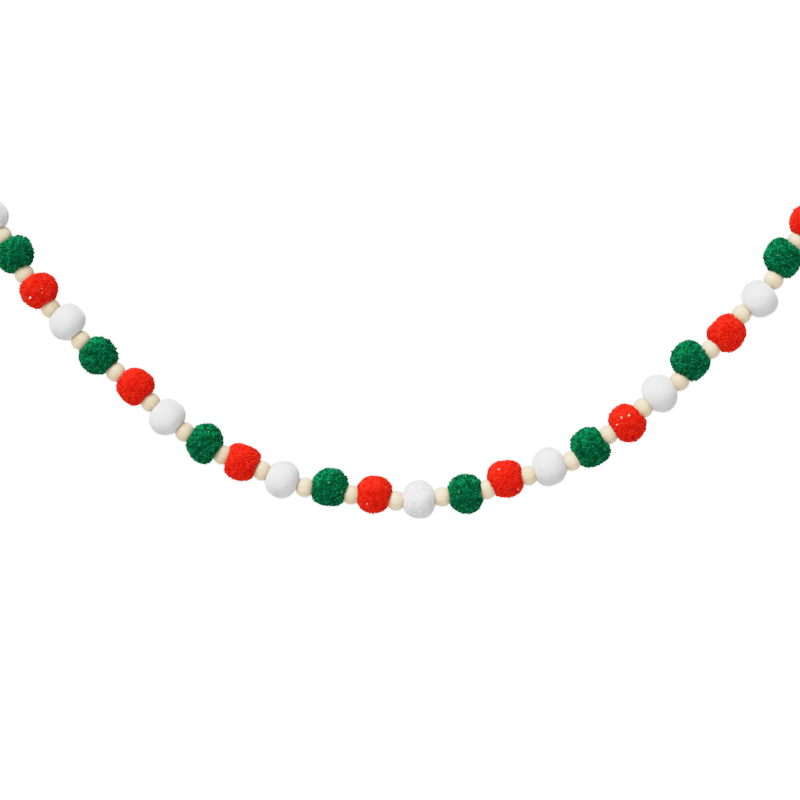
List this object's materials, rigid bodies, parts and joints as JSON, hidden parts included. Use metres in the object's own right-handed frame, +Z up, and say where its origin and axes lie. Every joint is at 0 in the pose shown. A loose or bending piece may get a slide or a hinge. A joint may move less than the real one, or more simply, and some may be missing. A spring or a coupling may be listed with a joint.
{
  "type": "pom pom garland",
  "caption": "Hanging garland of trimmed white, green and red pompoms with plain wooden beads between them, on one string with a knotted loop at each end.",
  "frame": {"origin": "inside of the left loop's top, where a nail or hook holds the garland", "axes": "+X along the swag to the viewer's right, +Y away from the viewer, +Z up"},
  "size_m": [0.4865, 0.0212, 0.1948],
  "materials": {
    "pompom_white": "dense trimmed acrylic pile, soft and matt",
    "pompom_green": "dense trimmed acrylic pile, matt",
    "pompom_red": "dense trimmed acrylic pile, matt",
    "bead_wood": "smooth turned pale wood, unvarnished",
    "string": "twisted cotton string, natural white"
  },
  "bodies": {
    "root": {"pompom_01": "pompom_white", "pompom_02": "pompom_green", "pompom_03": "pompom_red", "pompom_04": "pompom_white", "pompom_05": "pompom_green", "pompom_06": "pompom_red", "pompom_07": "pompom_white", "pompom_08": "pompom_green", "pompom_09": "pompom_red", "pompom_10": "pompom_white", "pompom_11": "pompom_green", "pompom_12": "pompom_red", "pompom_13": "pompom_white", "pompom_14": "pompom_green", "pompom_15": "pompom_red", "pompom_16": "pompom_white", "pompom_17": "pompom_green", "pompom_18": "pompom_red", "pompom_19": "pompom_white", "pompom_20": "pompom_green", "pompom_21": "pompom_red", "pompom_22": "pompom_white", "pompom_23": "pompom_green", "pompom_24": "pompom_red", "bead_01": "bead_wood", "bead_02": "bead_wood", "bead_03": "bead_wood", "bead_04": "bead_wood", "bead_05": "bead_wood", "bead_06": "bead_wood", "bead_07": "bead_wood", "bead_08": "bead_wood", "bead_09": "bead_wood", "bead_10": "bead_wood", "bead_11": "bead_wood", "bead_12": "bead_wood", "bead_13": "bead_wood", "bead_14": "bead_wood", "bead_15": "bead_wood", "bead_16": "bead_wood", "bead_17": "bead_wood", "bead_18": "bead_wood", "bead_19": "bead_wood", "bead_20": "bead_wood", "bead_21": "bead_wood", "bead_22": "bead_wood", "bead_23": "bead_wood", "string": "string", "loop_left": "string", "loop_right": "string"}
  },
  "joints": []
}
